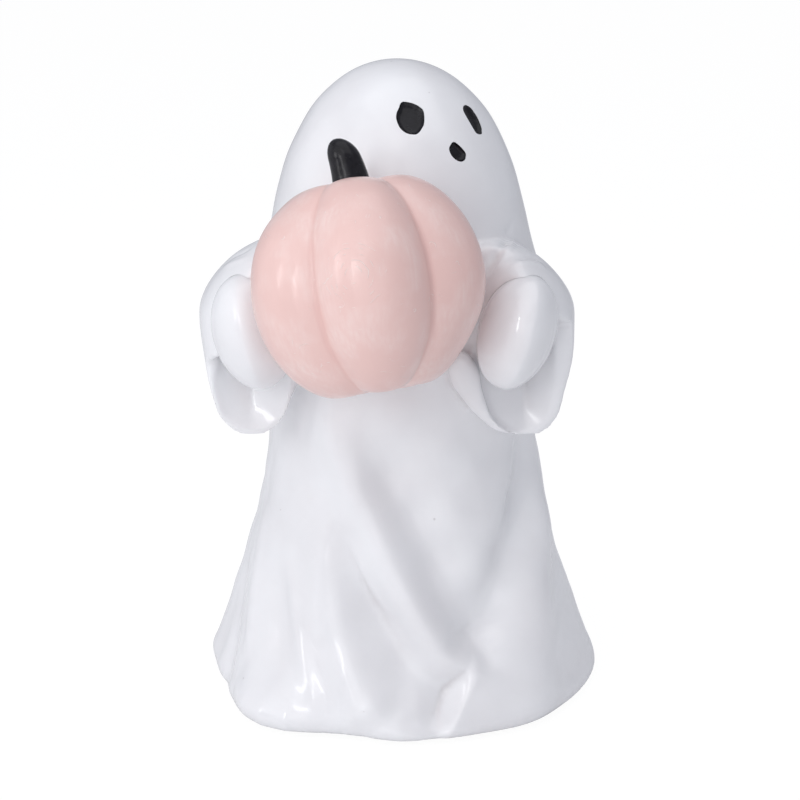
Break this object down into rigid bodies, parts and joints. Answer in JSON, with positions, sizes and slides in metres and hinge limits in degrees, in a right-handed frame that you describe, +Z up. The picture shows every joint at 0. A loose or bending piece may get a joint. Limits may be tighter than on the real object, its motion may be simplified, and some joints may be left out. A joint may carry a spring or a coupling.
{
  "type": "ghost figurine",
  "caption": "Resin bed-sheet ghost with wide sleeves and a draped gown, holding a ribbed pumpkin to its chest; a free-standing seasonal shelf ornament.",
  "frame": {"origin": "middle of the footprint, on the surface that the figurine stands on", "axes": "+Z up along the figure, -Y the way the pumpkin is held out, +X the ghost's left hand"},
  "size_m": [0.0756, 0.0956, 0.12],
  "materials": {
    "white_lacquer": "gloss lacquered cast resin",
    "pink_paint": "hand-brushed satin paint",
    "black_enamel": "brushed gloss enamel",
    "felt": "thin wool felt"
  },
  "bodies": {
    "root": {"ghost_body": "white_lacquer", "left_hand": "white_lacquer", "right_hand": "white_lacquer", "pumpkin": "pink_paint", "pumpkin_stem": "black_enamel", "right_eye": "black_enamel", "left_eye": "black_enamel", "mouth": "black_enamel", "felt_pad": "felt"}
  },
  "joints": []
}
